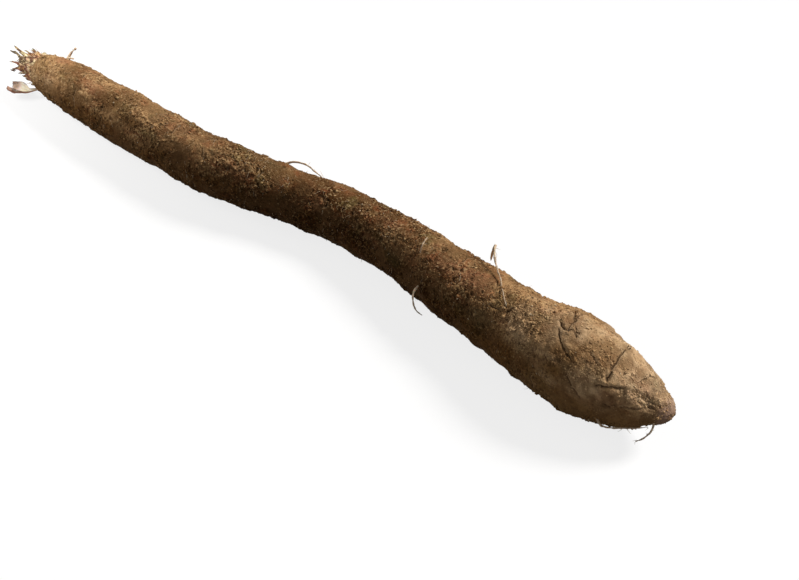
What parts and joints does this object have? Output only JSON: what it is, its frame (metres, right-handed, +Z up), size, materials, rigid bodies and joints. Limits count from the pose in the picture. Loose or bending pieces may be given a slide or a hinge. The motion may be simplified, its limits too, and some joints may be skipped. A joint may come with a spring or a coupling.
{
  "type": "black salsify root",
  "caption": "Long brown taproot with earthy bark, swollen towards its blunt tip, with dry leaf stubs at the crown and fine rootlets along its sides.",
  "frame": {"origin": "centre of the footprint of the bounding box, on the surface that the root lies on", "axes": "+X along the root from the crown to the tip, +Z up, +Y across the root"},
  "size_m": [0.313, 0.0376, 0.0286],
  "materials": {
    "bark": "matt, corky bark under a dusty film of dry earth",
    "dry_leaf": "dry, fibrous, straw to rust brown, darker at the ends",
    "pale_leaf": "dry, papery, pale cream with a brown edge",
    "rootlet_skin": "matt, thin dry root skin"
  },
  "bodies": {
    "root": {"taproot": "bark", "leaf_base_upper": "dry_leaf", "leaf_base_inner": "dry_leaf", "leaf_base_middle": "dry_leaf", "leaf_base_wisp": "dry_leaf", "leaf_base_lower": "dry_leaf", "leaf_base_dark": "dry_leaf", "leaf_base_back": "dry_leaf", "leaf_base_top": "dry_leaf", "leaf_base_pale": "pale_leaf", "rootlet_sprout": "rootlet_skin", "rootlet_short": "rootlet_skin", "rootlet_hanging": "rootlet_skin", "rootlet_long": "rootlet_skin", "rootlet_curl": "rootlet_skin", "rootlet_arc": "rootlet_skin", "rootlet_neck": "rootlet_skin", "rootlet_back": "rootlet_skin", "rootlet_end": "rootlet_skin"}
  },
  "joints": []
}
